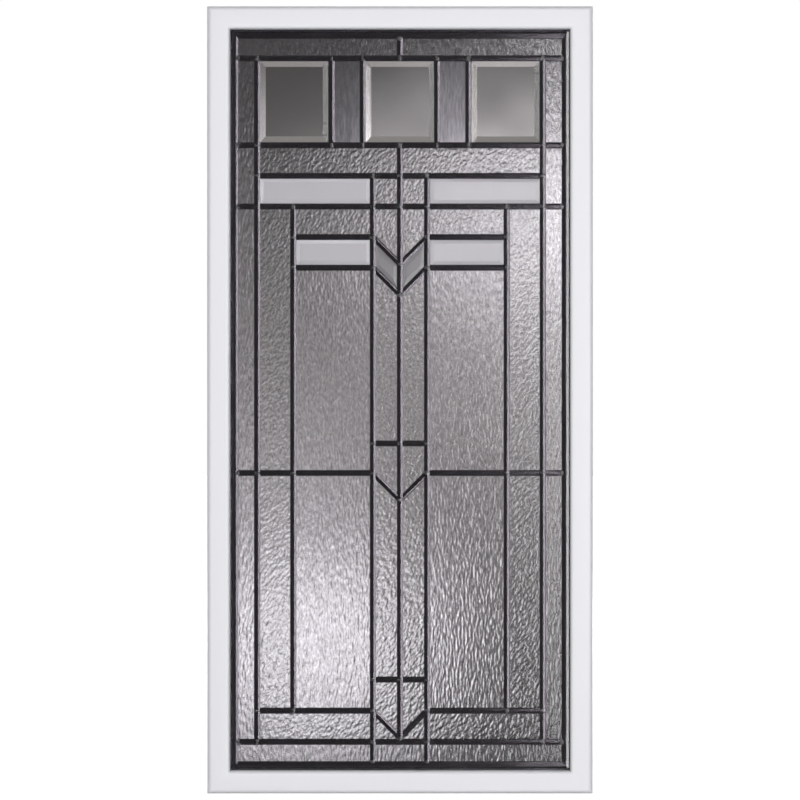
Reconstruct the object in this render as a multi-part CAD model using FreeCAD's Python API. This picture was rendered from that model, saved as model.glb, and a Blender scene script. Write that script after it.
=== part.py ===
import FreeCAD, Part
import math
import os

from FreeCAD import Vector

# Leaded glass insert for an entry door. A soldered panel of cames and textured glass is sealed
# between two clear panes, and two moulded frames clamp that unit in the door's cut-out.
# Millimetres. X runs across the door, Z runs up, and the street side faces -Y.
# The origin is the middle of the glass, half way through the door.

# Opening that is seen through
sight_width = 546.0
sight_height = 1190.0

# Door and its cut-out
door_thickness = 44.5
skin_overlap = 12.5
screw_gap = 12.5
glass_bite = 11.0
cutout_clearance = 0.4

# Moulded frame section
flange_rise = 9.6
lip_rise = 3.0
outer_bevel_width = 7.0
bevel_bulge = 0.8
inner_slope_width = 8.0
inner_slope_drop = 1.0
inner_chamfer_width = 4.0
inner_chamfer_drop = 4.1
chamfer_bulge = 0.5
wall = 2.6
foot_width = 7.5
foot_thickness = 2.5
leg_depth = 12.0
leg_thickness = 2.3
seat_rib = 2.5

# Screws, their bosses and plugs
screws_per_side = 3
screw_end_margin = 130.0
screw_diameter = 4.2
screw_head_diameter = 8.0
screw_head_height = 2.2
thread_bite = 16.5
pilot_spare = 3.0
screw_clearance = 0.05
boss_wall = 2.4
head_boss_wall = 1.8
boss_gap = 1.0
head_seat_thickness = 2.4
plug_thickness = 1.6
plug_gap = 0.2

# Sealed glass unit
pane_thickness = 3.2
pane_gap = 19.0
sealant_width = 2.0
spacer_margin = 2.5
spacer_wall = 0.6
spacer_chamfer = 1.2
tape_thickness = 1.6
tape_width = 6.5
tape_margin = 0.5

# Came sections, the same on both faces of the panel. Level and slanted cames are a little slimmer.
came_face_width = 10.0
came_heart = 1.6
came_edge = 0.6
came_crown = 1.2
crown_flat_share = 0.45
bar_face_width = 9.4
bar_crown = 1.1
chevron_face_width = 9.0
chevron_crown = 1.0
border_visible = 12.0
border_crown = 1.4

# Decorative glass
glass_thickness = 3.2
glass_clearance = 0.2
edge_gap = 0.7
bevel_edge_thickness = 2.0
bevel_full_thickness = 5.0
square_bevel = 12.5
narrow_bevel = 9.0

# Layout of the came lines, from the border inwards and from the top down
side_strip_width = 30.5
inner_strip_width = 58.3
post_half_width = 43.7
bevel_square_width = 120.2
top_strip_height = 31.8
square_row_height = 140.2
band_height = 49.4
upper_panel_height = 331.2
short_bar_rise = 47.7
bottom_strip_height = 31.5
foot_band_height = 50.2
chevron_tip_rise = 6.5

# Sizes that follow from the driving ones
frame_face_width = skin_overlap + screw_gap + glass_bite
door_half = door_thickness / 2
sight_half_width = sight_width / 2
sight_half_height = sight_height / 2
outer_half_width = sight_half_width + frame_face_width
outer_half_height = sight_half_height + frame_face_width
screw_line = skin_overlap + screw_gap / 2
channel_half = glass_thickness / 2 + glass_clearance
came_edge_depth = channel_half + came_edge
pane_inner_face = pane_gap / 2
pane_outer_face = pane_inner_face + pane_thickness
foot_depth = pane_outer_face + tape_thickness
border_hidden = glass_bite - sealant_width
border_width = border_visible + border_hidden
spacer_width = border_hidden - spacer_margin
glass_setback = came_heart / 2 + edge_gap
came_half_face = came_face_width / 2

# Came lines, as distances from the middle of the glass
border_edge_x = sight_half_width - border_visible
border_line_x = border_edge_x + came_half_face
side_line = border_edge_x - side_strip_width
inner_line = side_line - inner_strip_width
square_outer_line = side_line - bevel_square_width
square_inner_line = bevel_square_width / 2

border_edge_z = sight_half_height - border_visible
border_line_z = border_edge_z + came_half_face
head_line = border_edge_z - top_strip_height
square_line = head_line - square_row_height
band_line_1 = square_line - band_height
band_line_2 = band_line_1 - band_height
band_line_3 = band_line_2 - band_height
band_line_4 = band_line_3 - band_height
middle_line = band_line_4 - upper_panel_height
sill_line = bottom_strip_height - border_edge_z
foot_line = sill_line + foot_band_height
upper_short_line = middle_line + short_bar_rise
lower_short_line = foot_line + foot_band_height
chevron_drop = foot_band_height - chevron_tip_rise


def outline_wire(steps):
    """Closed wire. A step of one point is a straight edge, and one of two points is an arc."""
    edges = []
    here = steps[-1][-1]
    for step in steps:
        there = step[-1]
        if len(step) == 1:
            edges.append(Part.makeLine(here, there))
        else:
            edges.append(Part.Arc(here, step[0], there).toShape())
        here = there
    return Part.Wire(edges)


def flat_face(corners):
    """Flat face with straight edges."""
    return Part.Face(Part.makePolygon(corners + corners[:1]))


def section_point(inwards, depth, half_width, half_height):
    """Point of a ring's section, at the lower left corner where its path starts."""
    return Vector(-half_width, depth, inwards - half_height)


def ring(section, half_width, half_height):
    """Section swept round a rectangle with mitred corners. The section runs inwards from it."""
    corners = [
        Vector(-half_width, 0, -half_height),
        Vector(half_width, 0, -half_height),
        Vector(half_width, 0, half_height),
        Vector(-half_width, 0, half_height),
    ]
    path = Part.makePolygon(corners + corners[:1])
    steps = []
    for step in section:
        steps.append([section_point(u, y, half_width, half_height) for u, y in step])
    right_corner = 1
    return path.makePipeShell([outline_wire(steps)], True, False, right_corner)


def box_ring(outer_half_x, outer_half_z, width, depth_from, depth_to):
    """Ring of plain rectangular section."""
    section = [
        [(0, depth_from)],
        [(width, depth_from)],
        [(width, depth_to)],
        [(0, depth_to)],
    ]
    return ring(section, outer_half_x, outer_half_z)


def turned_over(shape):
    """The same piece on the room side."""
    return shape.mirror(Vector(0, 0, 0), Vector(0, 1, 0))


def solid_of(shape):
    """The one solid that a shape holds."""
    return shape.removeSplitter().Solids[0]


def write_node(name, shape):
    """Write one piece, or one group of like pieces, to its own file."""
    shape.exportStep("parts/" + name + ".step")


# Moulded frames

def moulding_section():
    """Section of the street side frame: a face, a lip on the skin, a leg and a foot on the glass."""
    slant = math.radians(45)
    slant_step = wall * math.tan(slant / 2)
    slope_start = frame_face_width - inner_chamfer_width - inner_slope_width
    slope_end = frame_face_width - inner_chamfer_width
    slope_rise = flange_rise - inner_slope_drop
    chamfer_rise = slope_rise - inner_chamfer_drop
    underside = flange_rise - wall
    leg_outside = skin_overlap + cutout_clearance
    leg_inside = leg_outside + leg_thickness
    rib_outside = leg_outside - seat_rib
    foot_face = foot_depth - door_half
    foot_back = foot_face + foot_thickness
    foot_outside = frame_face_width - foot_width
    bevel_middle = (outer_bevel_width / 2 - bevel_bulge, (lip_rise + flange_rise) / 2 + bevel_bulge)
    chamfer_middle = (slope_end + inner_chamfer_width / 2 + chamfer_bulge,
                      (slope_rise + chamfer_rise) / 2 + chamfer_bulge)
    rises = [
        [(0, lip_rise)],
        [bevel_middle, (outer_bevel_width, flange_rise)],
        [(slope_start, flange_rise)],
        [(slope_end, slope_rise)],
        [chamfer_middle, (frame_face_width, chamfer_rise)],
        [(frame_face_width, foot_face)],
        [(foot_outside, foot_face)],
        [(foot_outside, foot_back)],
        [(frame_face_width - wall, foot_back)],
        [(frame_face_width - wall, chamfer_rise - slant_step)],
        [(slope_end - slant_step, slope_rise - wall)],
        [(slope_start, underside)],
        [(leg_inside, underside)],
        [(leg_inside, -leg_depth)],
        [(leg_outside, -leg_depth)],
        [(leg_outside, 0)],
        [(rib_outside, 0)],
        [(rib_outside, underside)],
        [(outer_bevel_width + slant_step, underside)],
        [(wall, lip_rise - slant_step)],
        [(wall, 0)],
        [(0, 0)],
    ]
    return [[(inwards, -door_half - rise) for inwards, rise in step] for step in rises]


def spread(count, reach):
    """Places spread evenly from -reach to reach."""
    return [reach * (2 * index / (count - 1) - 1) for index in range(count)]


def screw_places():
    """Where the frame screws stand, up both sides and at the middle of both ends."""
    side_x = outer_half_width - screw_line
    end_z = outer_half_height - screw_line
    places = []
    for sign in (-1, 1):
        places.append((0, sign * end_z))
        for z in spread(screws_per_side, outer_half_height - screw_end_margin):
            places.append((sign * side_x, z))
    return places


def rod(place, diameter, depth_from, depth_to):
    """Round bar through the door at one screw."""
    x, z = place
    return Part.makeCylinder(diameter / 2, depth_to - depth_from, Vector(x, depth_from, z), Vector(0, 1, 0))


def boss(place, width, depth_from, depth_to):
    """Square boss through the door at one screw."""
    x, z = place
    return Part.makeBox(width, depth_to - depth_from, width, Vector(x - width / 2, depth_from, z - width / 2))


bore_diameter = screw_diameter + 2 * screw_clearance
head_bore_diameter = screw_head_diameter + 2 * screw_clearance
boss_width = bore_diameter + 2 * boss_wall
head_boss_width = head_bore_diameter + 2 * head_boss_wall
face_depth = door_half + flange_rise
underside_depth = face_depth - wall
head_seat_depth = face_depth - plug_thickness - plug_gap - screw_head_height
screw_point_depth = -boss_gap / 2 - thread_bite


def street_frame():
    """Outer moulding, with blind bosses that the screws bite into."""
    frame = ring(moulding_section(), outer_half_width, outer_half_height)
    bosses = []
    bores = []
    for place in screw_places():
        bosses.append(boss(place, boss_width, -underside_depth - wall / 2, -boss_gap / 2))
        bores.append(rod(place, bore_diameter, screw_point_depth - pilot_spare, 0))
    return solid_of(frame.fuse(bosses).cut(bores))


def room_frame():
    """Inner moulding, the same section turned over, with counterbored bosses for the screw heads."""
    frame = turned_over(ring(moulding_section(), outer_half_width, outer_half_height))
    bosses = []
    bores = []
    for place in screw_places():
        bosses.append(boss(place, boss_width, boss_gap / 2, underside_depth))
        bosses.append(boss(place, head_boss_width, head_seat_depth - head_seat_thickness,
                           underside_depth + wall / 2))
        bores.append(rod(place, bore_diameter, 0, face_depth))
        bores.append(rod(place, head_bore_diameter, head_seat_depth, face_depth + wall))
    return solid_of(frame.fuse(bosses).cut(bores))


def frame_screw(place):
    """Pan head screw from the room side."""
    shank = rod(place, screw_diameter, screw_point_depth, head_seat_depth)
    head = rod(place, screw_head_diameter, head_seat_depth, head_seat_depth + screw_head_height)
    return solid_of(shank.fuse(head))


def screw_plug(place):
    """Cap that closes the counterbore over a screw head."""
    return rod(place, screw_head_diameter, face_depth - plug_thickness, face_depth)


def write_frames():
    write_node("front_frame", street_frame())
    write_node("rear_frame", room_frame())
    write_node("frame_screws", Part.makeCompound([frame_screw(place) for place in screw_places()]))
    write_node("screw_plugs", Part.makeCompound([screw_plug(place) for place in screw_places()]))


# Sealed unit

def pane(depth_from):
    """Clear toughened pane."""
    half_width = sight_half_width + glass_bite
    half_height = sight_half_height + glass_bite
    corner = Vector(-half_width, depth_from, -half_height)
    return Part.makeBox(2 * half_width, pane_thickness, 2 * half_height, corner)


def glazing_tape():
    """Foam tape between the street frame's foot and the front pane."""
    outer = tape_margin + tape_width
    return box_ring(sight_half_width + outer, sight_half_height + outer, tape_width,
                    -foot_depth, -pane_outer_face)


def spacer_bar():
    """Hollow metal bar that holds the front pane off the border came."""
    half_width = sight_half_width + border_hidden
    half_height = sight_half_height + border_hidden
    near = -came_edge_depth
    far = -pane_inner_face
    outside = [
        [(spacer_chamfer, far)],
        [(spacer_width, far)],
        [(spacer_width, near)],
        [(spacer_chamfer, near)],
        [(0, near - spacer_chamfer)],
        [(0, far + spacer_chamfer)],
    ]
    bar = ring(outside, half_width, half_height)
    hollow = box_ring(half_width - spacer_chamfer, half_height - spacer_chamfer,
                      spacer_width - spacer_chamfer - spacer_wall, far + spacer_wall, near - spacer_wall)
    return bar.cut(hollow)


def edge_sealant():
    """Band of sealant that closes the unit's edge between the two panes."""
    return box_ring(sight_half_width + glass_bite, sight_half_height + glass_bite, sealant_width,
                    -pane_inner_face, pane_inner_face)


def write_sealed_unit():
    write_node("front_pane", pane(-pane_outer_face))
    write_node("rear_pane", pane(pane_inner_face))
    write_node("front_glazing_tape", glazing_tape())
    write_node("rear_glazing_tape", turned_over(glazing_tape()))
    write_node("front_spacer_bar", spacer_bar())
    write_node("rear_spacer_bar", turned_over(spacer_bar()))
    write_node("edge_sealant", edge_sealant())


# Cames

def border_section():
    """Wide came: crowned where it shows, and flat where the spacer bars grip it."""
    heart_inside = border_width - came_half_face + came_heart / 2
    heart_outside = heart_inside - came_heart
    crown_middle = (spacer_width + border_width) / 2
    crown_depth = came_edge_depth + border_crown
    return [
        [(0, -came_edge_depth)],
        [(spacer_width, -came_edge_depth)],
        [(crown_middle, -crown_depth), (border_width, -came_edge_depth)],
        [(border_width, -channel_half)],
        [(heart_inside, -channel_half)],
        [(heart_inside, channel_half)],
        [(border_width, channel_half)],
        [(border_width, came_edge_depth)],
        [(crown_middle, crown_depth), (spacer_width, came_edge_depth)],
        [(0, came_edge_depth)],
        [(0, channel_half)],
        [(heart_outside, channel_half)],
        [(heart_outside, -channel_half)],
        [(0, -channel_half)],
    ]


def mitre_wedge(half_width, half_height, sign):
    """Prism over the top or bottom side of the panel, out to the mitre lines at its two corners."""
    corner_z = sign * half_height
    apex_z = sign * (half_height - half_width)
    points = [
        Vector(0, -door_half, apex_z),
        Vector(-half_width, -door_half, corner_z),
        Vector(half_width, -door_half, corner_z),
    ]
    return flat_face(points).extrude(Vector(0, door_thickness, 0))


def border_cames():
    """Four mitred lengths of the wide came, by name."""
    half_width = sight_half_width + border_hidden
    half_height = sight_half_height + border_hidden
    whole = ring(border_section(), half_width, half_height)
    bottom_wedge = mitre_wedge(half_width, half_height, -1)
    top_wedge = mitre_wedge(half_width, half_height, 1)
    left_half = Part.makeBox(half_width, door_thickness, 2 * half_height,
                             Vector(-half_width, -door_half, -half_height))
    uprights = whole.cut([bottom_wedge, top_wedge])
    return {
        "bottom": solid_of(whole.common(bottom_wedge)),
        "top": solid_of(whole.common(top_wedge)),
        "left": solid_of(uprights.common(left_half)),
        "right": solid_of(uprights.cut(left_half)),
    }


def came_section(face_width, crown):
    """Section of an H came, across the run and through the panel. Each crown has three flats."""
    heart = came_heart / 2
    leaf = face_width / 2
    flat = leaf * crown_flat_share
    top = came_edge_depth + crown
    return [
        [(-leaf, -channel_half)],
        [(-leaf, -came_edge_depth)],
        [(-flat, -top)],
        [(flat, -top)],
        [(leaf, -came_edge_depth)],
        [(leaf, -channel_half)],
        [(heart, -channel_half)],
        [(heart, channel_half)],
        [(leaf, channel_half)],
        [(leaf, came_edge_depth)],
        [(flat, top)],
        [(-flat, top)],
        [(-leaf, came_edge_depth)],
        [(-leaf, channel_half)],
        [(-heart, channel_half)],
        [(-heart, -channel_half)],
    ]


def came_run(section, points):
    """Came along straight runs through points of the panel, each (x, z), mitred where it turns."""
    path = Part.makePolygon([Vector(x, 0, z) for x, z in points])
    (x0, z0), (x1, z1) = points[:2]
    length = math.hypot(x1 - x0, z1 - z0)
    across_x = (z0 - z1) / length
    across_z = (x1 - x0) / length
    steps = []
    for step in section:
        steps.append([Vector(x0 + s * across_x, y, z0 + s * across_z) for s, y in step])
    right_corner = 1
    return path.makePipeShell([outline_wire(steps)], True, False, right_corner)


def upright_runs():
    """Ends of the upright cames, which run past the level ones."""
    runs = [
        ((0, head_line), (0, border_edge_z)),
        ((0, foot_line - chevron_drop), (0, square_line)),
    ]
    for sign in (-1, 1):
        runs += [
            ((sign * side_line, sill_line), (sign * side_line, head_line)),
            ((sign * square_outer_line, square_line), (sign * square_outer_line, head_line)),
            ((sign * square_inner_line, square_line), (sign * square_inner_line, head_line)),
            ((sign * inner_line, foot_line), (sign * inner_line, band_line_2)),
            ((sign * post_half_width, -border_edge_z), (sign * post_half_width, band_line_1)),
        ]
    return runs


def level_runs():
    """Ends of the level cames."""
    runs = [
        ((-border_edge_x, head_line), (border_edge_x, head_line)),
        ((-border_edge_x, square_line), (border_edge_x, square_line)),
        ((-side_line, band_line_1), (side_line, band_line_1)),
        ((-border_edge_x, band_line_2), (border_edge_x, band_line_2)),
        ((-post_half_width, upper_short_line), (post_half_width, upper_short_line)),
        ((-post_half_width, lower_short_line), (post_half_width, lower_short_line)),
        ((-border_edge_x, sill_line), (border_edge_x, sill_line)),
    ]
    for sign in (-1, 1):
        post = sign * post_half_width
        runs += [
            ((sign * inner_line, band_line_3), (post, band_line_3)),
            ((sign * inner_line, band_line_4), (post, band_line_4)),
            ((sign * border_edge_x, middle_line), (post, middle_line)),
            ((sign * side_line, foot_line), (post, foot_line)),
        ]
    return runs


def chevron_runs():
    """Corners of each chevron, from post to post."""
    levels = (band_line_3, band_line_4, middle_line, foot_line)
    return [((-post_half_width, level), (0, level - chevron_drop), (post_half_width, level)) for level in levels]


def came_lattice():
    """All inner cames, soldered into one piece."""
    bars = [came_run(came_section(came_face_width, came_crown), run) for run in upright_runs()]
    bars += [came_run(came_section(bar_face_width, bar_crown), run) for run in level_runs()]
    bars += [came_run(came_section(chevron_face_width, chevron_crown), run) for run in chevron_runs()]
    return solid_of(bars[0].fuse(bars[1:]))


def write_cames():
    for name, came in border_cames().items():
        write_node("border_came_" + name, came)
    write_node("came_lattice", came_lattice())


# Decorative glass

def cell_outline(cell, setback, depth):
    """Corners of a glass cell, set back from its cames. A cell is (inner x, outer x, bottom, top),
    and its bottom and top are heights at the inner and outer x."""
    inner, outer, bottom, top = cell
    corners = []
    for (inner_z, outer_z), side in ((bottom, 1), (top, -1)):
        slope = (outer_z - inner_z) / (outer - inner)
        lift = side * setback * math.hypot(1, slope)
        pair = []
        for x in (inner + setback, outer - setback):
            pair.append(Vector(x, depth, inner_z + slope * (x - inner) + lift))
        corners.append(pair)
    return corners[0] + corners[1][::-1]


def side_faces(outline, next_outline):
    """Faces that join two outlines with as many corners, edge by edge."""
    faces = []
    for index, corner in enumerate(outline):
        faces.append(flat_face([outline[index - 1], corner, next_outline[index], next_outline[index - 1]]))
    return faces


def flat_glass(cell):
    """Plate of even thickness, let into the channels of its cames."""
    corners = cell_outline(cell, glass_setback, -glass_thickness / 2)
    return flat_face(corners).extrude(Vector(0, glass_thickness, 0))


def bevelled_glass(cell, bevel):
    """Thick plate whose street face is ground down to a thin edge all round."""
    back_depth = glass_thickness / 2
    back = cell_outline(cell, glass_setback, back_depth)
    rim = cell_outline(cell, glass_setback, back_depth - bevel_edge_thickness)
    top = cell_outline(cell, glass_setback + bevel, back_depth - bevel_full_thickness)
    faces = [flat_face(back), flat_face(top)] + side_faces(back, rim) + side_faces(rim, top)
    return Part.Solid(Part.Shell(faces))


def mirrored(shape):
    """The same piece on the left of the panel."""
    return shape.mirror(Vector(0, 0, 0), Vector(1, 0, 0))


def level_cell(inner, outer, bottom, top):
    """Cell with level cames above and below."""
    return (inner, outer, (bottom, bottom), (top, top))


def chevron(level):
    """Heights of a chevron came at the middle of the panel and at the post."""
    return (level - chevron_drop, level)


def side_cells():
    """Flat glass that stands on both sides of the panel."""
    return {
        "top_strip": level_cell(0, border_line_x, head_line, border_line_z),
        "square_row_side": level_cell(side_line, border_line_x, square_line, head_line),
        "smooth_strip": level_cell(square_inner_line, square_outer_line, square_line, head_line),
        "shoulder_side": level_cell(side_line, border_line_x, band_line_2, square_line),
        "head_strip": level_cell(0, side_line, band_line_1, square_line),
        "upper_side": level_cell(side_line, border_line_x, middle_line, band_line_2),
        "upper_inner": level_cell(inner_line, side_line, middle_line, band_line_2),
        "panel_head": level_cell(post_half_width, inner_line, band_line_3, band_line_2),
        "upper_panel": level_cell(post_half_width, inner_line, middle_line, band_line_4),
        "lower_side": level_cell(side_line, border_line_x, sill_line, middle_line),
        "lower_inner": level_cell(inner_line, side_line, foot_line, middle_line),
        "lower_panel": level_cell(post_half_width, inner_line, foot_line, middle_line),
        "foot_strip": level_cell(post_half_width, side_line, sill_line, foot_line),
        "bottom_strip": level_cell(post_half_width, border_line_x, -border_line_z, sill_line),
    }


def side_bevels():
    """Bevelled glass that stands on both sides of the panel, with its bevel's width."""
    return {
        "bevel_square": (level_cell(square_outer_line, side_line, square_line, head_line), square_bevel),
        "shoulder_bevel": (level_cell(post_half_width, side_line, band_line_2, band_line_1), narrow_bevel),
        "panel_bevel": (level_cell(post_half_width, inner_line, band_line_4, band_line_3), narrow_bevel),
    }


def post_cells():
    """Flat glass of the post, the narrow column at the middle, where each piece has a twin."""
    post = post_half_width
    return {
        "post_cap": level_cell(0, post, band_line_2, band_line_1),
        "post_head": (0, post, chevron(band_line_3), (band_line_2, band_line_2)),
        "post_upper": (0, post, (upper_short_line, upper_short_line), chevron(band_line_4)),
        "post_middle": (0, post, chevron(middle_line), (upper_short_line, upper_short_line)),
        "post_lower": (0, post, (lower_short_line, lower_short_line), chevron(middle_line)),
        "post_foot": (0, post, chevron(foot_line), (lower_short_line, lower_short_line)),
        "post_toe": (0, post, (sill_line, sill_line), chevron(foot_line)),
    }


def write_twins(name, right_piece):
    write_node("glass_" + name + "_right", right_piece)
    write_node("glass_" + name + "_left", mirrored(right_piece))


def write_pair(name, right_piece):
    write_node("glass_" + name + "_pair", Part.makeCompound([mirrored(right_piece), right_piece]))


def write_glass():
    for name, cell in side_cells().items():
        write_twins(name, flat_glass(cell))
    for name, (cell, bevel) in side_bevels().items():
        write_twins(name, bevelled_glass(cell, bevel))
    for name, cell in post_cells().items():
        write_pair(name, flat_glass(cell))
    chevron_cell = (0, post_half_width, chevron(band_line_4), chevron(band_line_3))
    write_pair("post_bevel", bevelled_glass(chevron_cell, narrow_bevel))
    middle_square = level_cell(-square_inner_line, square_inner_line, square_line, head_line)
    write_node("glass_bevel_square_middle", bevelled_glass(middle_square, square_bevel))
    middle_strip = level_cell(-post_half_width, post_half_width, -border_line_z, sill_line)
    write_node("glass_bottom_strip_middle", flat_glass(middle_strip))


os.makedirs("parts", exist_ok=True)
write_frames()
write_sealed_unit()
write_cames()
write_glass()
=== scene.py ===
import math
import random

import bmesh
import bpy
from mathutils import Matrix, Vector


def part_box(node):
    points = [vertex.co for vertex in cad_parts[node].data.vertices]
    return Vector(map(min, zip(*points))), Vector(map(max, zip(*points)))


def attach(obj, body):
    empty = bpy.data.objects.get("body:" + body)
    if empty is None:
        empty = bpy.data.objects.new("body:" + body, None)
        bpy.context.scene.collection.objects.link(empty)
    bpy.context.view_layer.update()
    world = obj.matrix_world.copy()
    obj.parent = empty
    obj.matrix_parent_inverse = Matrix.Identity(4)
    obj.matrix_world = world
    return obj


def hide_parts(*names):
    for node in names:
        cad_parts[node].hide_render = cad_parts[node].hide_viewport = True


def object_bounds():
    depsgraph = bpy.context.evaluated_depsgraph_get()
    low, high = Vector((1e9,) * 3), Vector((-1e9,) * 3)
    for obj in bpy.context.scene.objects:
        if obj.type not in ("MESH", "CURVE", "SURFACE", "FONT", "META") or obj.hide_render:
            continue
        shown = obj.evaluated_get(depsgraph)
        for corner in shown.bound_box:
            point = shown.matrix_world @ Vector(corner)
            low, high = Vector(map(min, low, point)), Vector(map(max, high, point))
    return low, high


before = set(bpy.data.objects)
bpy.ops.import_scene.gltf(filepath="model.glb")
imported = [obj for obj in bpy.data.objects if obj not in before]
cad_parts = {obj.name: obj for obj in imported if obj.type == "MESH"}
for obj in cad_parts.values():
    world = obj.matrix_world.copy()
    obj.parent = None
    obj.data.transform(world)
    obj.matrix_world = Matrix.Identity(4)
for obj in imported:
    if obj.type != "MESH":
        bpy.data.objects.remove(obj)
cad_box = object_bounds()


# Moulded frames. Two white plastic mouldings of one section clamp the glass unit in the door, one on
# each side. They are injection moulded with a satin face, and each long edge has a small round.

plastic_white = (0.80, 0.80, 0.83, 1)
plastic_roughness = 0.42
plastic_grain_scale = 700
plastic_grain_depth = 0.04
grain_detail = 2.0
grain_height = 0.001
frame_edge_round = 0.0006
frame_edge_steps = 3
long_edge = 0.2
sharp_fold = math.radians(20)
smooth_fold = math.radians(30)
merge_reach = 0.00001
flat_reach = math.radians(0.3)


def principled(material):
    """The one Principled shader of a material."""
    return material.node_tree.nodes["Principled BSDF"]


def new_material(name, colour, roughness, metallic=0.0):
    """Material with one Principled shader."""
    material = bpy.data.materials.new(name)
    material.use_nodes = True
    shader = principled(material)
    shader.inputs["Base Color"].default_value = colour
    shader.inputs["Roughness"].default_value = roughness
    shader.inputs["Metallic"].default_value = metallic
    return material


def grain(material, scale, depth):
    """Fine bump on the piece's own coordinates."""
    nodes = material.node_tree.nodes
    links = material.node_tree.links
    place = nodes.new("ShaderNodeTexCoord")
    noise = nodes.new("ShaderNodeTexNoise")
    bump = nodes.new("ShaderNodeBump")
    noise.inputs["Scale"].default_value = scale
    noise.inputs["Detail"].default_value = grain_detail
    bump.inputs["Strength"].default_value = depth
    bump.inputs["Distance"].default_value = grain_height
    links.new(place.outputs["Object"], noise.inputs["Vector"])
    links.new(noise.outputs["Fac"], bump.inputs["Height"])
    links.new(bump.outputs["Normal"], principled(material).inputs["Normal"])


def dress(piece, material):
    """Give a piece its one material."""
    piece.data.materials.clear()
    piece.data.materials.append(material)


def dress_node(node, material):
    """Give a CAD node its material."""
    dress(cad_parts[node], material)


def take_up(piece):
    """Make a piece the only selected one."""
    bpy.ops.object.select_all(action="DESELECT")
    piece.select_set(True)
    bpy.context.view_layer.objects.active = piece


def merged_copy(node, name):
    """Copy of a CAD node, with its loose triangles merged into whole faces."""
    piece = bpy.data.objects.new(name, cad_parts[node].data.copy())
    bpy.context.scene.collection.objects.link(piece)
    take_up(piece)
    bpy.ops.object.mode_set(mode="EDIT")
    bpy.ops.mesh.select_all(action="SELECT")
    bpy.ops.mesh.customdata_custom_splitnormals_clear()
    bpy.ops.mesh.remove_doubles(threshold=merge_reach)
    bpy.ops.mesh.dissolve_limited(angle_limit=flat_reach)
    bpy.ops.object.mode_set(mode="OBJECT")
    return piece


def round_long_edges(piece, width, steps, least_length):
    """Bevel each long sharp edge."""
    take_up(piece)
    bpy.context.tool_settings.mesh_select_mode = (False, True, False)
    bpy.ops.object.mode_set(mode="EDIT")
    bpy.ops.mesh.select_all(action="DESELECT")
    mesh = bmesh.from_edit_mesh(piece.data)
    for edge in mesh.edges:
        if edge.is_manifold and edge.calc_face_angle() > sharp_fold and edge.calc_length() > least_length:
            edge.select_set(True)
    bmesh.update_edit_mesh(piece.data)
    bpy.ops.mesh.bevel(offset=width, segments=steps, affect="EDGES", clamp_overlap=False)
    bpy.ops.object.mode_set(mode="OBJECT")
    bpy.ops.object.shade_smooth_by_angle(angle=smooth_fold)


white_plastic = new_material("white_plastic", plastic_white, plastic_roughness)
grain(white_plastic, plastic_grain_scale, plastic_grain_depth)

for node, name in (("front_frame", "street_side_frame"), ("rear_frame", "room_side_frame")):
    moulding = merged_copy(node, name)
    round_long_edges(moulding, frame_edge_round, frame_edge_steps, long_edge)
    dress(moulding, white_plastic)
    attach(moulding, "root")
    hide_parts(node)


# Frame screws and their plugs. Zinc plated pan head screws draw the frames together from the room
# side, and a white cap is pressed into each counterbore over the head.

screw_zinc = (0.62, 0.62, 0.64, 1)
zinc_roughness = 0.35
plug_white = (0.78, 0.78, 0.81, 1)
plug_roughness = 0.4

zinc = new_material("zinc_plated_steel", screw_zinc, zinc_roughness, 1.0)
plug_plastic = new_material("plug_plastic", plug_white, plug_roughness)
dress_node("frame_screws", zinc)
dress_node("screw_plugs", plug_plastic)


# Sealed unit. Two clear toughened panes are held apart by hollow metal spacer bars and closed with
# black sealant, and foam tape beds each pane on its frame's foot.

pane_tint = (0.98, 0.983, 0.984, 1)
pane_shadow_tint = (0.9, 0.9, 0.9, 1)
glass_ior = 1.5
spacer_grey = (0.5, 0.5, 0.52, 1)
spacer_roughness = 0.35
sealant_black = (0.02, 0.02, 0.022, 1)
sealant_roughness = 0.6
tape_grey = (0.42, 0.42, 0.43, 1)
tape_roughness = 0.9


def new_glass(name, colour, roughness=0.0, clearness=1.0):
    """Glass that lets the lamps through to what lies behind it."""
    material = new_material(name, colour, roughness)
    shader = principled(material)
    shader.inputs["IOR"].default_value = glass_ior
    shader.inputs["Transmission Weight"].default_value = clearness
    nodes = material.node_tree.nodes
    links = material.node_tree.links
    path = nodes.new("ShaderNodeLightPath")
    passing = nodes.new("ShaderNodeBsdfTransparent")
    mix = nodes.new("ShaderNodeMixShader")
    passing.inputs["Color"].default_value = pane_shadow_tint
    links.new(path.outputs["Is Shadow Ray"], mix.inputs["Fac"])
    links.new(shader.outputs["BSDF"], mix.inputs[1])
    links.new(passing.outputs["BSDF"], mix.inputs[2])
    links.new(mix.outputs["Shader"], nodes["Material Output"].inputs["Surface"])
    return material


clear_glass = new_glass("clear_toughened_glass", pane_tint)
for node in ("front_pane", "rear_pane"):
    dress_node(node, clear_glass)

spacer_metal = new_material("spacer_aluminium", spacer_grey, spacer_roughness, 1.0)
for node in ("front_spacer_bar", "rear_spacer_bar"):
    dress_node(node, spacer_metal)

sealant = new_material("black_sealant", sealant_black, sealant_roughness)
dress_node("edge_sealant", sealant)

foam = new_material("grey_foam_tape", tape_grey, tape_roughness)
for node in ("front_glazing_tape", "rear_glazing_tape"):
    dress_node(node, foam)


# Border cames. Four lengths of wide came, black finished, crowned where they show and mitred at the
# corners, frame the leaded panel and carry the spacer bars.

came_black = (0.094, 0.084, 0.097, 1)
came_roughness = 0.16
came_metal_share = 0.82
came_grain_scale = 260
came_grain_depth = 0.12
border_edge_round = 0.0003
border_edge_steps = 2

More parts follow.
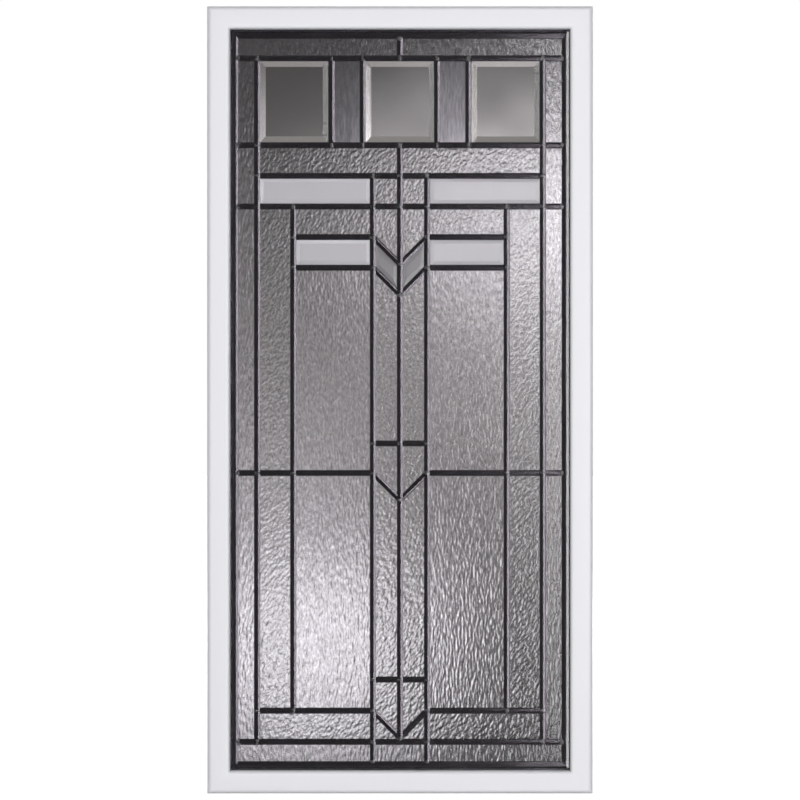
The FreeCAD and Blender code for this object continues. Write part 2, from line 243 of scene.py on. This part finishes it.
came_metal = new_material("black_came_metal", came_black, came_roughness, came_metal_share)
grain(came_metal, came_grain_scale, came_grain_depth)

for side in ("left", "right", "top", "bottom"):
    border = merged_copy("border_came_" + side, "border_came_" + side + "_finished")
    round_long_edges(border, border_edge_round, border_edge_steps, long_edge)
    dress(border, came_metal)
    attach(border, "root")
    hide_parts("border_came_" + side)


# Inner cames. Lengths of H came with crowned faces run between the pieces of glass. Each upright runs
# through between two level cames, and the other level and slanted lengths are cut to butt against it.

came_width = 0.010
bar_width = 0.0094
leg_width = 0.0090
came_crown = 0.0012
bar_crown = 0.0011
leg_crown = 0.0010
came_lip = 0.0006
came_heart = 0.0016
channel_half = 0.0018
glass_setback = 0.0015
crown_facets = 160

lip_depth = channel_half + came_lip
centre_leaf = came_width / 2
half_bar = bar_width / 2
facing = 0.9

low_corner = 0
high_corner = 1
border_inner_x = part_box("border_came_right")[low_corner].x
border_inner_z = -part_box("border_came_bottom")[high_corner].z
side_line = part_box("glass_upper_side_right")[low_corner].x - glass_setback
inner_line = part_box("glass_upper_inner_right")[low_corner].x - glass_setback
post_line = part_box("glass_upper_panel_right")[low_corner].x - glass_setback
square_line_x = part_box("glass_bevel_square_middle")[high_corner].x + glass_setback
strip_line_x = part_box("glass_bevel_square_right")[low_corner].x - glass_setback
head_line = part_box("glass_bevel_square_middle")[high_corner].z + glass_setback
square_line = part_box("glass_bevel_square_middle")[low_corner].z - glass_setback
shoulder_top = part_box("glass_shoulder_bevel_right")[high_corner].z + glass_setback
shoulder_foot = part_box("glass_shoulder_bevel_right")[low_corner].z - glass_setback
panel_bevel_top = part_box("glass_panel_bevel_right")[high_corner].z + glass_setback
panel_bevel_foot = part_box("glass_panel_bevel_right")[low_corner].z - glass_setback
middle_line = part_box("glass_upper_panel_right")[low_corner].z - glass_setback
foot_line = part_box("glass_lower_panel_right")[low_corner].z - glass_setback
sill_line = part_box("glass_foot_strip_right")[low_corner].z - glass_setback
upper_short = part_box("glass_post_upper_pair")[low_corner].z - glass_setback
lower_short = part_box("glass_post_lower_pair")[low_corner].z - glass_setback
chevron_rise = post_line


def select_faces(piece, wanted):
    """Select the faces of the piece in edit mode that the test wants."""
    bpy.ops.mesh.select_all(action="DESELECT")
    mesh = bmesh.from_edit_mesh(piece.data)
    for face in mesh.faces:
        if wanted(face):
            face.select_set(True)
    bmesh.update_edit_mesh(piece.data)


def came_master(name, face_width, crown):
    """A metre of H came along Z, centred on the origin, to be copied and cut to length."""
    radius = (face_width ** 2 / 4 + crown ** 2) / (2 * crown)
    bpy.ops.object.select_all(action="DESELECT")
    bpy.ops.mesh.primitive_cylinder_add(vertices=crown_facets, radius=radius, depth=1,
                                        location=(0, radius - crown - lip_depth, 0))
    master = bpy.context.object
    master.name = name
    bpy.ops.object.transform_apply(location=True, rotation=True, scale=True)
    bpy.context.tool_settings.mesh_select_mode = (False, False, True)
    bpy.ops.object.mode_set(mode="EDIT")
    bpy.ops.mesh.select_all(action="SELECT")
    bpy.ops.mesh.bisect(plane_co=(0, -lip_depth, 0), plane_no=(0, 1, 0), use_fill=True, clear_outer=True)
    for edge_x in (-came_heart / 2, came_heart / 2):
        bpy.ops.mesh.select_all(action="SELECT")
        bpy.ops.mesh.bisect(plane_co=(edge_x, 0, 0), plane_no=(1, 0, 0))
    select_faces(master, lambda face: face.normal.y > facing)
    bpy.ops.mesh.extrude_region_move(TRANSFORM_OT_translate={"value": (0, came_lip, 0)})
    select_faces(master, lambda face: face.normal.y > facing
                 and abs(face.calc_center_median().x) < came_heart / 2)
    bpy.ops.mesh.extrude_region_move(TRANSFORM_OT_translate={"value": (0, channel_half, 0)})
    bpy.ops.mesh.delete(type="FACE")
    bpy.ops.object.mode_set(mode="OBJECT")
    mirror = master.modifiers.new("room face", "MIRROR")
    mirror.use_axis = (False, True, False)
    mirror.merge_threshold = merge_reach
    bpy.ops.object.modifier_apply(modifier=mirror.name)
    bpy.ops.object.mode_set(mode="EDIT")
    bpy.ops.mesh.select_all(action="SELECT")
    bpy.ops.mesh.normals_make_consistent(inside=False)
    bpy.ops.object.mode_set(mode="OBJECT")
    bpy.ops.object.shade_smooth_by_angle(angle=smooth_fold)
    return master


def came_copy(master):
    """Copy of a master piece with its own mesh."""
    piece = master.copy()
    piece.data = master.data.copy()
    bpy.context.scene.collection.objects.link(piece)
    return piece


def lay_came(master, start, end):
    """Copy of the master came, cut to run from start to end, each (x, z)."""
    length = came_copy(master)
    run = Vector((end[0] - start[0], 0, end[1] - start[1]))
    turn = math.atan2(run.x, run.z)
    middle = Vector(((start[0] + end[0]) / 2, 0, (start[1] + end[1]) / 2))
    stretch = Matrix.Diagonal((1, 1, run.length, 1))
    length.data.transform(Matrix.Translation(middle) @ Matrix.Rotation(turn, 4, "Y") @ stretch)
    return length


def trim_ends(piece, low_x, high_x):
    """Saw a slanted came off flush with the uprights at both ends."""
    take_up(piece)
    bpy.ops.object.mode_set(mode="EDIT")
    bpy.ops.mesh.select_all(action="SELECT")
    bpy.ops.mesh.bisect(plane_co=(low_x, 0, 0), plane_no=(1, 0, 0), use_fill=True, clear_inner=True)
    bpy.ops.mesh.select_all(action="SELECT")
    bpy.ops.mesh.bisect(plane_co=(high_x, 0, 0), plane_no=(1, 0, 0), use_fill=True, clear_outer=True)
    bpy.ops.object.mode_set(mode="OBJECT")


upright = came_master("upright_came", came_width, came_crown)
bar = came_master("level_came", bar_width, bar_crown)
leg = came_master("slanted_came", leg_width, leg_crown)

lengths = [
    lay_came(upright, (0, head_line + half_bar), (0, border_inner_z)),
    lay_came(upright, (0, foot_line - chevron_rise), (0, square_line - half_bar)),
]
for side in (-1, 1):
    for x, foot, head in ((side_line, sill_line + half_bar, head_line - half_bar),
                          (strip_line_x, square_line + half_bar, head_line - half_bar),
                          (square_line_x, square_line + half_bar, head_line - half_bar),
                          (inner_line, foot_line + half_bar, shoulder_foot - half_bar),
                          (post_line, -border_inner_z, shoulder_top - half_bar)):
        lengths.append(lay_came(upright, (side * x, foot), (side * x, head)))

level_rows = [
    (head_line, (-border_inner_x, border_inner_x)),
    (square_line, (-border_inner_x, -side_line, side_line, border_inner_x)),
    (shoulder_top, (-side_line, 0, side_line)),
    (shoulder_foot, (-border_inner_x, -side_line, -post_line, 0, post_line, side_line, border_inner_x)),
    (upper_short, (-post_line, 0, post_line)),
    (lower_short, (-post_line, 0, post_line)),
    (sill_line, (-border_inner_x, -post_line, post_line, border_inner_x)),
]
for side in (-1, 1):
    level_rows += [
        (panel_bevel_top, (side * post_line, side * inner_line)),
        (panel_bevel_foot, (side * post_line, side * inner_line)),
        (middle_line, (side * post_line, side * inner_line, side * side_line, side * border_inner_x)),
        (foot_line, (side * post_line, side * side_line)),
    ]

joints = set()
for level, stops in level_rows:
    for left, right in zip(sorted(stops), sorted(stops)[1:]):
        start = left if left == -border_inner_x else left + centre_leaf
        end = right if right == border_inner_x else right - centre_leaf
        lengths.append(lay_came(bar, (start, level), (end, level)))
        joints.update({(left, level), (right, level)})

for level in (panel_bevel_top, panel_bevel_foot, middle_line, foot_line):
    joints.add((0, level - chevron_rise))
    for side in (-1, 1):
        slanted = lay_came(leg, (0, level - chevron_rise), (side * post_line, level))
        low_x, high_x = sorted((side * centre_leaf, side * (post_line - centre_leaf)))
        trim_ends(slanted, low_x, high_x)
        lengths.append(slanted)

take_up(lengths[0])
for length in lengths:
    length.select_set(True)
bpy.ops.object.join()
inner_cames = bpy.context.object
inner_cames.name = "inner_cames"
for master in (upright, bar, leg):
    bpy.data.objects.remove(master)
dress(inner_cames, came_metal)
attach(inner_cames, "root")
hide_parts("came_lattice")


# Solder joints. A low lump of tin solder closes each joint of the cames on both faces. Each was
# melted on by hand, so no two have quite the same size or outline.

solder_tin = (0.2, 0.2, 0.205, 1)
solder_roughness = 0.5
solder_grain_scale = 420
solder_grain_depth = 0.3
solder_reach = 0.0047
solder_spread = (0.85, 1.1)
solder_half_depth = 0.0012
solder_proud = 0.0001
solder_top = lip_depth + came_crown + solder_proud
solder_unevenness = 0.0007
solder_segments = 12
solder_rings = 8
solder_seed = 7

tin = new_material("tin_solder", solder_tin, solder_roughness, 1.0)
grain(tin, solder_grain_scale, solder_grain_depth)

joints.update({(0, head_line), (0, square_line), (0, border_inner_z)})
for side in (-1, 1):
    joints.update({(side * strip_line_x, head_line), (side * square_line_x, head_line),
                   (side * side_line, head_line), (side * strip_line_x, square_line),
                   (side * square_line_x, square_line), (side * post_line, shoulder_top),
                   (side * inner_line, shoulder_foot), (side * inner_line, foot_line),
                   (side * side_line, sill_line), (side * post_line, -border_inner_z)})

random.seed(solder_seed)
lumps = []
for x, z in sorted(joints):
    for face in (-1, 1):
        bpy.ops.object.select_all(action="DESELECT")
        bpy.ops.mesh.primitive_uv_sphere_add(segments=solder_segments, ring_count=solder_rings, radius=1)
        lump = bpy.context.object
        lump.scale = (solder_reach * random.uniform(*solder_spread), solder_half_depth,
                      solder_reach * random.uniform(*solder_spread))
        lump.rotation_euler = (0, random.uniform(0, math.pi), 0)
        lump.location = (x, face * (solder_top - solder_half_depth), z)
        bpy.ops.object.transform_apply(location=True, rotation=True, scale=True)
        bpy.ops.object.mode_set(mode="EDIT")
        bpy.ops.mesh.select_all(action="SELECT")
        bpy.ops.transform.vertex_random(offset=solder_unevenness, seed=random.randrange(1000))
        bpy.ops.object.mode_set(mode="OBJECT")
        bpy.ops.object.shade_smooth()
        lumps.append(lump)
take_up(lumps[0])
for lump in lumps:
    lump.select_set(True)
bpy.ops.object.join()
solder = bpy.context.object
solder.name = "solder_joints"
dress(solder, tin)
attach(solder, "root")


# Bevelled glass. Three grey squares, four pale bars and a pair of slanted pieces are plate with a
# ground and polished bevel on the street side, seated in the cames.

square_tint = (0.8, 0.775, 0.76, 1)
light_tint = (0.9, 0.88, 0.915, 1)
light_clearness = 0.4
chevron_tint = (0.49, 0.478, 0.495, 1)
chevron_clearness = 0.5

bevel_glass = new_glass("grey_bevelled_glass", square_tint)
light_glass = new_glass("clear_bevelled_glass", light_tint, clearness=light_clearness)
chevron_glass = new_glass("grey_chevron_glass", chevron_tint, clearness=chevron_clearness)
for node in ("glass_bevel_square_left", "glass_bevel_square_middle", "glass_bevel_square_right"):
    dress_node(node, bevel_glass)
for node in ("glass_shoulder_bevel_left", "glass_shoulder_bevel_right", "glass_panel_bevel_left",
             "glass_panel_bevel_right"):
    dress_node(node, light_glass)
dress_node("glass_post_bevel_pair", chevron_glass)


# Textured glass. Rolled plates with a relief on the street face: long vertical streaks in the rain
# glass, short ripples in the hammered glass. Each is cut to its cell and lies in the cames.

rain_tint = (0.64, 0.618, 0.636, 1)
rain_clouds = (0.0026, 0.0026, 0.0065)
rain_unevenness = 0.3
rain_cell = (0.0010, 0.0022)
rain_streak = 0.0031
rain_streak_stretch = 3.4
rain_depth = 0.00045
rain_swell_size = 0.009
rain_swell_stretch = 2.5
rain_swell_depth = 0.0002
hammered_tint = (0.6, 0.585, 0.595, 1)
hammered_clouds = (0.0028, 0.0028, 0.0042)
hammered_unevenness = 0.25
hammered_cell = (0.0011, 0.0011)
hammer_mark = 0.0038
hammer_mark_stretch = 1.7
hammer_turn = math.radians(28)
hammered_depth = 0.00052
hammer_swell_size = 0.010
hammered_swell_depth = 0.00015
rolled_roughness = 0.06
rolled_grain_scale = 520
rolled_grain_depth = 0.1
smooth_tint = (0.65, 0.63, 0.67, 1)
smooth_clouds = (0.0025, 0.0025, 0.02)
smooth_unevenness = 0.2
smooth_cell = (0.0020, 0.0040)
smooth_roughness = 0.08
smooth_swell_depth = 0.0001
cloud_ends = (0.3, 0.7)
roller_contrast = 1.6
relief_fold = math.radians(60)


def clouded(material, colour, pitch, unevenness, turn=0.0):
    """Uneven tint of rolled glass, drawn out along its streaks, round a mean colour."""
    nodes = material.node_tree.nodes
    links = material.node_tree.links
    place = nodes.new("ShaderNodeTexCoord")
    drawn = nodes.new("ShaderNodeMapping")
    noise = nodes.new("ShaderNodeTexNoise")
    ramp = nodes.new("ShaderNodeValToRGB")
    drawn.inputs["Rotation"].default_value = (0, turn, 0)
    drawn.inputs["Scale"].default_value = [1 / length for length in pitch]
    noise.inputs["Scale"].default_value = 1.0
    noise.inputs["Detail"].default_value = 2.0
    for element, position, share in zip(ramp.color_ramp.elements, cloud_ends, (-1, 1)):
        element.position = position
        element.color = [value * (1 + share * unevenness) for value in colour[:3]] + [1]
    links.new(place.outputs["Object"], drawn.inputs["Vector"])
    links.new(drawn.outputs["Vector"], noise.inputs["Vector"])
    links.new(noise.outputs["Fac"], ramp.inputs["Fac"])
    links.new(ramp.outputs["Color"], principled(material).inputs["Base Color"])


rain_glass = new_glass("rain_glass", rain_tint, rolled_roughness)
grain(rain_glass, rolled_grain_scale, rolled_grain_depth)
clouded(rain_glass, rain_tint, rain_clouds, rain_unevenness)
hammered_glass = new_glass("hammered_glass", hammered_tint, rolled_roughness)
grain(hammered_glass, rolled_grain_scale, rolled_grain_depth)
clouded(hammered_glass, hammered_tint, hammered_clouds, hammered_unevenness, hammer_turn)
smooth_glass = new_glass("smooth_grey_glass", smooth_tint, smooth_roughness)
clouded(smooth_glass, smooth_tint, smooth_clouds, smooth_unevenness)


def roller(name, size, stretch, turn=0.0):
    """Pattern that a roller leaves in hot glass: a texture, and the guide that stretches and turns it."""
    texture = bpy.data.textures.new(name, "CLOUDS")
    texture.noise_scale = size
    texture.contrast = roller_contrast
    guide = bpy.data.objects.new(name + "_guide", None)
    guide.scale = (1, 1, stretch)
    guide.rotation_euler = (0, turn, 0)
    bpy.context.scene.collection.objects.link(guide)
    bpy.context.view_layer.update()
    return texture, guide


rain_streaks = roller("rain_streaks", rain_streak, rain_streak_stretch)
rain_swell = roller("rain_swell", rain_swell_size, rain_swell_stretch)
hammer_marks = roller("hammer_marks", hammer_mark, hammer_mark_stretch, hammer_turn)
hammer_swell = roller("hammer_swell", hammer_swell_size, 1)


def press(plate, rolled, depth):
    """Press a rolled pattern into the street face, inwards by up to depth."""
    texture, guide = rolled
    modifier = plate.modifiers.new(texture.name, "DISPLACE")
    modifier.texture = texture
    modifier.texture_coords = "OBJECT"
    modifier.texture_coords_object = guide
    modifier.direction = "Y"
    modifier.mid_level = 0.0
    modifier.strength = depth
    bpy.ops.object.modifier_apply(modifier=modifier.name)


def textured_plate(name, low, high, cell, patterns, cuts=()):
    """Plate between two corners with a relief on its street face. A cut is (x, z, slope, keep),
    a slanted line that the plate is cut along, and keep is 1 for what lies above it, -1 below."""
    width = high.x - low.x
    height = high.z - low.z
    bpy.ops.object.select_all(action="DESELECT")
    bpy.ops.mesh.primitive_grid_add(
        x_subdivisions=max(2, round(width / cell[0])), y_subdivisions=max(2, round(height / cell[1])),
        size=1, location=((low.x + high.x) / 2, low.y, (low.z + high.z) / 2),
        rotation=(math.radians(90), 0, 0))
    plate = bpy.context.object
    plate.name = name
    plate.scale = (width, height, 1)
    bpy.ops.object.transform_apply(location=True, rotation=True, scale=True)
    bpy.context.tool_settings.mesh_select_mode = (False, True, False)
    bpy.ops.object.mode_set(mode="EDIT")
    for x, z, slope, keep in cuts:
        bpy.ops.mesh.select_all(action="SELECT")
        bpy.ops.mesh.bisect(plane_co=(x, 0, z), plane_no=(-slope * keep, 0, keep), clear_inner=True)
    bpy.ops.object.mode_set(mode="OBJECT")
    for rolled, depth in patterns:
        press(plate, rolled, depth)
    bpy.ops.object.mode_set(mode="EDIT")
    bpy.ops.mesh.select_all(action="DESELECT")
    bpy.ops.mesh.select_non_manifold()
    bpy.ops.mesh.extrude_region_move(TRANSFORM_OT_translate={"value": (0, high.y - low.y, 0)})
    bpy.ops.transform.resize(value=(1, 0, 1), center_override=(0, high.y, 0))
    bpy.ops.mesh.edge_face_add()
    bpy.ops.mesh.select_all(action="SELECT")
    bpy.ops.mesh.normals_make_consistent(inside=False)
    bpy.ops.object.mode_set(mode="OBJECT")
    bpy.ops.object.shade_smooth_by_angle(angle=relief_fold)
    return plate


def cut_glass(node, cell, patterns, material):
    """Textured plate in place of a CAD node of straight outline."""
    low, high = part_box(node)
    plate = textured_plate(node.replace("glass_", "plate_"), low, high, cell, patterns)
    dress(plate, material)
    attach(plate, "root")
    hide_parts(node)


rain_patterns = ((rain_streaks, rain_depth), (rain_swell, rain_swell_depth))
hammered_patterns = ((hammer_marks, hammered_depth), (hammer_swell, hammered_swell_depth))
smooth_patterns = ((rain_swell, smooth_swell_depth),)

for name in ("top_strip", "square_row_side", "shoulder_side", "upper_side", "upper_panel", "lower_side",
             "lower_panel", "bottom_strip"):
    for side in ("left", "right"):
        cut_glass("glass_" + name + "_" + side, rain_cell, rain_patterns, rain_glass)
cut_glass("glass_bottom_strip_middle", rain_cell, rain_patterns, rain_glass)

for name in ("head_strip", "upper_inner", "panel_head", "lower_inner", "foot_strip"):
    for side in ("left", "right"):
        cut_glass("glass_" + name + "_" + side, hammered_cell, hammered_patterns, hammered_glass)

for side in ("left", "right"):
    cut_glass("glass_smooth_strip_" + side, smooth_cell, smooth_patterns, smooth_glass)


def post_plates(piece, slanted_foot=False, slanted_head=False):
    """The two twin plates of a post cell, one on each side of the middle came."""
    node = "glass_post_" + piece + "_pair"
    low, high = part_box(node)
    for side, name in ((-1, "left"), (1, "right")):
        near = side * glass_setback
        far = side * high.x
        corner_low = Vector((min(near, far), low.y, low.z))
        corner_high = Vector((max(near, far), high.y, high.z))
        cuts = []
        if slanted_foot:
            cuts.append((near, low.z, side, 1))
        if slanted_head:
            cuts.append((far, high.z, side, -1))
        plate = textured_plate("plate_post_" + piece + "_" + name, corner_low, corner_high, hammered_cell,
                               hammered_patterns, cuts)
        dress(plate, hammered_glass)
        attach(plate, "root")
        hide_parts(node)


post_plates("cap")
post_plates("head", slanted_foot=True)
post_plates("upper", slanted_head=True)
post_plates("middle", slanted_foot=True)
post_plates("lower", slanted_head=True)
post_plates("foot", slanted_foot=True)
post_plates("toe", slanted_head=True)

for texture, guide in (rain_streaks, rain_swell, hammer_marks, hammer_swell):
    bpy.data.objects.remove(guide)


# Studio. A plain pale floor under the insert, soft lamps, and a dim room whose patches of light show
# through the glass and on the metal. The camera stands straight in front.

floor_white = (0.9, 0.9, 0.9, 1)
floor_roughness = 0.9
floor_glow = 1.0
floor_side = 30
floor_level = cad_box[0].z
key_place = (-0.1, -5.2, 0)
key_side = 5.0
key_power = 340
bank_place = (1.279, -2.14, 0)
bank_width = 1.9
bank_height = 2.6
bank_power = 75
back_place = (1.5, 3.2, 2.0)
back_side = 2.2
back_power = 120
room_tone = 0.05
blotch_scale = 26
blotch_detail = 1.0
blotch_range = (0.3, 0.7)
blotch_share = (0.65, 1.35)
camera_distance = 3.6
photo_width = 800
metres_per_pixel = 0.0016


def keep_dark_in_glass(piece):
    """Keep a lamp or the floor out of mirrors and out of what shows through the glass."""
    piece.visible_glossy = False
    piece.visible_transmission = False


bpy.ops.object.select_all(action="DESELECT")
bpy.ops.mesh.primitive_plane_add(size=1, location=(0, 0, floor_level))
floor = bpy.context.object
floor.scale = (floor_side, floor_side, 1)
floor.name = "studio_floor"
floor_paint = new_material("pale_floor", floor_white, floor_roughness)
principled(floor_paint).inputs["Emission Color"].default_value = (1, 1, 1, 1)
principled(floor_paint).inputs["Emission Strength"].default_value = floor_glow
floor.data.materials.append(floor_paint)
floor.visible_diffuse = False
keep_dark_in_glass(floor)


def soft_lamp(name, place, width, height, power):
    """Rectangular soft lamp that faces the insert."""
    lamp = bpy.data.lights.new(name, "AREA")
    lamp.shape = "RECTANGLE"
    lamp.size = width
    lamp.size_y = height
    lamp.energy = power
    holder = bpy.data.objects.new(name, lamp)
    holder.location = place
    holder.rotation_euler = (Vector() - Vector(place)).to_track_quat("-Z", "Y").to_euler()
    bpy.context.scene.collection.objects.link(holder)
    return holder


def show_in_mirrors_only(lamp):
    """Let a lamp show where something shiny mirrors it, and not straight through the glass."""
    lamp.visible_diffuse = False
    lamp.data.use_nodes = True
    nodes = lamp.data.node_tree.nodes
    links = lamp.data.node_tree.links
    path = nodes.new("ShaderNodeLightPath")
    mirrored = nodes.new("ShaderNodeMath")
    mirrored.operation = "MINIMUM"
    mirrored.inputs[1].default_value = 1.0
    links.new(path.outputs["Glossy Depth"], mirrored.inputs[0])
    links.new(mirrored.outputs["Value"], nodes["Emission"].inputs["Strength"])


keep_dark_in_glass(soft_lamp("key_lamp", key_place, key_side, key_side, key_power))
show_in_mirrors_only(soft_lamp("right_bank", bank_place, bank_width, bank_height, bank_power))
keep_dark_in_glass(soft_lamp("back_lamp", back_place, back_side, back_side, back_power))

world = bpy.data.worlds.new("studio")
world.use_nodes = True
bpy.context.scene.world = world
sky = world.node_tree.nodes
sky_links = world.node_tree.links
sky.clear()
direction = sky.new("ShaderNodeTexCoord")


def glow(centre, reach, colour):
    """Soft round patch of light in the room, with the direction of its centre."""
    place = sky.new("ShaderNodeMapping")
    patch = sky.new("ShaderNodeTexGradient")
    tone = sky.new("ShaderNodeVectorMath")
    patch.gradient_type = "QUADRATIC_SPHERE"
    place.vector_type = "TEXTURE"
    place.inputs["Location"].default_value = centre
    place.inputs["Scale"].default_value = reach
    tone.operation = "SCALE"
    tone.inputs[0].default_value = colour
    sky_links.new(direction.outputs["Generated"], place.inputs["Vector"])
    sky_links.new(place.outputs["Vector"], patch.inputs["Vector"])
    sky_links.new(patch.outputs["Fac"], tone.inputs["Scale"])
    return tone.outputs["Vector"]


def added(first, second):
    """Sum of two lights in the room."""
    adding = sky.new("ShaderNodeVectorMath")
    adding.operation = "ADD"
    sky_links.new(first, adding.inputs[0])
    sky_links.new(second, adding.inputs[1])
    return adding.outputs["Vector"]


def blotched(light):
    """The same light in the room, but uneven."""
    noise = sky.new("ShaderNodeTexNoise")
    share = sky.new("ShaderNodeMapRange")
    uneven = sky.new("ShaderNodeVectorMath")
    noise.inputs["Scale"].default_value = blotch_scale
    noise.inputs["Detail"].default_value = blotch_detail
    share.clamp = False
    share.inputs["From Min"].default_value = blotch_range[0]
    share.inputs["From Max"].default_value = blotch_range[1]
    share.inputs["To Min"].default_value = blotch_share[0]
    share.inputs["To Max"].default_value = blotch_share[1]
    uneven.operation = "SCALE"
    sky_links.new(direction.outputs["Generated"], noise.inputs["Vector"])
    sky_links.new(noise.outputs["Fac"], share.inputs["Value"])
    sky_links.new(light, uneven.inputs[0])
    sky_links.new(share.outputs["Result"], uneven.inputs["Scale"])
    return uneven.outputs["Vector"]


room = sky.new("ShaderNodeVectorMath")
room.operation = "ADD"
room.inputs[0].default_value = (room_tone, room_tone, room_tone)
sky_links.new(glow((0.03, 1, 0), (0.7, 1.2, 0.22), (0.52, 0.5, 0.5)), room.inputs[1])
upper_glow = glow((0, 1, 0.3), (0.6, 1.2, 0.16), (0.9, 0.88, 0.86))
lower_left_glow = glow((-0.06, 1, -0.115), (0.1, 0.6, 0.155), (1.4, 1.38, 1.45))
upper_right_glow = glow((0.075, 1, 0.085), (0.16, 0.6, 0.095), (1.8, 1.75, 1.83))
lower_middle_glow = glow((-0.02, 1, -0.115), (0.09, 0.6, 0.1), (1.4, 1.37, 1.42))
behind_glass = blotched(added(lower_left_glow, added(upper_right_glow, lower_middle_glow)))
room_light = added(added(room.outputs["Vector"], upper_glow), behind_glass)
for side_glow in (
    glow((0.75, -0.7, -0.1), (0.62, 0.5, 0.6), (0.8, 0.8, 0.82)),
    glow((-0.85, -0.55, -0.1), (0.5, 0.4, 0.6), (0.75, 0.75, 0.77)),
    glow((1, 0.2, 0), (0.7, 0.8, 0.9), (0.85, 0.85, 0.85)),
    glow((-1, 0.2, 0), (0.7, 0.8, 0.9), (1.0, 1.0, 1.0)),
    glow((0, -0.45, -1), (0.8, 0.7, 0.6), (2.1, 2.1, 2.1)),
    glow((0, -0.45, 1), (0.8, 0.7, 0.6), (1.3, 1.3, 1.3)),
    glow((-0.8, 0.6, -0.3), (0.6, 0.5, 0.7), (0.5, 0.5, 0.5)),
    glow((0.8, 0.6, -0.3), (0.6, 0.5, 0.7), (0.5, 0.5, 0.5)),
):
    room_light = added(room_light, side_glow)

backdrop = sky.new("ShaderNodeBackground")
surroundings = sky.new("ShaderNodeBackground")
choose = sky.new("ShaderNodeMixShader")
path = sky.new("ShaderNodeLightPath")
out = sky.new("ShaderNodeOutputWorld")
backdrop.inputs["Color"].default_value = (1, 1, 1, 1)
sky_links.new(room_light, surroundings.inputs["Color"])
sky_links.new(path.outputs["Is Camera Ray"], choose.inputs["Fac"])
sky_links.new(surroundings.outputs["Background"], choose.inputs[1])
sky_links.new(backdrop.outputs["Background"], choose.inputs[2])
sky_links.new(choose.outputs["Shader"], out.inputs["Surface"])

camera_data = bpy.data.cameras.new("camera")
camera = bpy.data.objects.new("camera", camera_data)
bpy.context.scene.collection.objects.link(camera)
camera.location = (0, -camera_distance, 0)
camera.rotation_euler = (math.radians(90), 0, 0)
camera_data.sensor_fit = "HORIZONTAL"
face_distance = camera_distance + cad_box[0].y
camera_data.angle = 2 * math.atan(photo_width * metres_per_pixel / 2 / face_distance)
bpy.context.scene.camera = camera
bpy.context.scene.view_settings.view_transform = "Standard"
